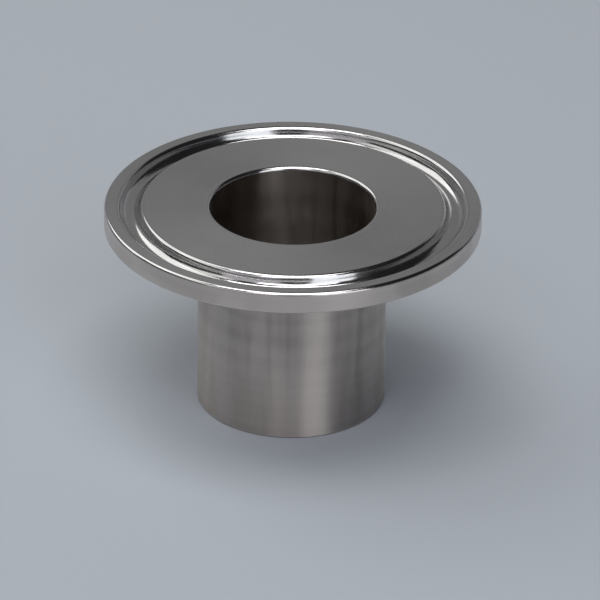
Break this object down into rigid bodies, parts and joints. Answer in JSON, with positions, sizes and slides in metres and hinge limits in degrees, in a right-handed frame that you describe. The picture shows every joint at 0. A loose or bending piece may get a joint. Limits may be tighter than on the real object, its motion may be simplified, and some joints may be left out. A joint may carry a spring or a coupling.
{
  "type": "sanitary clamp ferrule",
  "caption": "Stainless steel tube end with a clamp flange, a flat sealing face and a gasket groove, for sanitary clamp joints.",
  "frame": {"origin": "centre of the weld end, at the foot of the tube", "axes": "+Z along the bore, from the weld end to the sealing face; X and Y are any two directions square to it, because the part is round"},
  "size_m": [0.0506, 0.0506, 0.0286],
  "materials": {
    "stainless_steel": "satin turned faces, with a polished groove and polished small rounds"
  },
  "bodies": {
    "root": {"ferrule": "stainless_steel"}
  },
  "joints": []
}
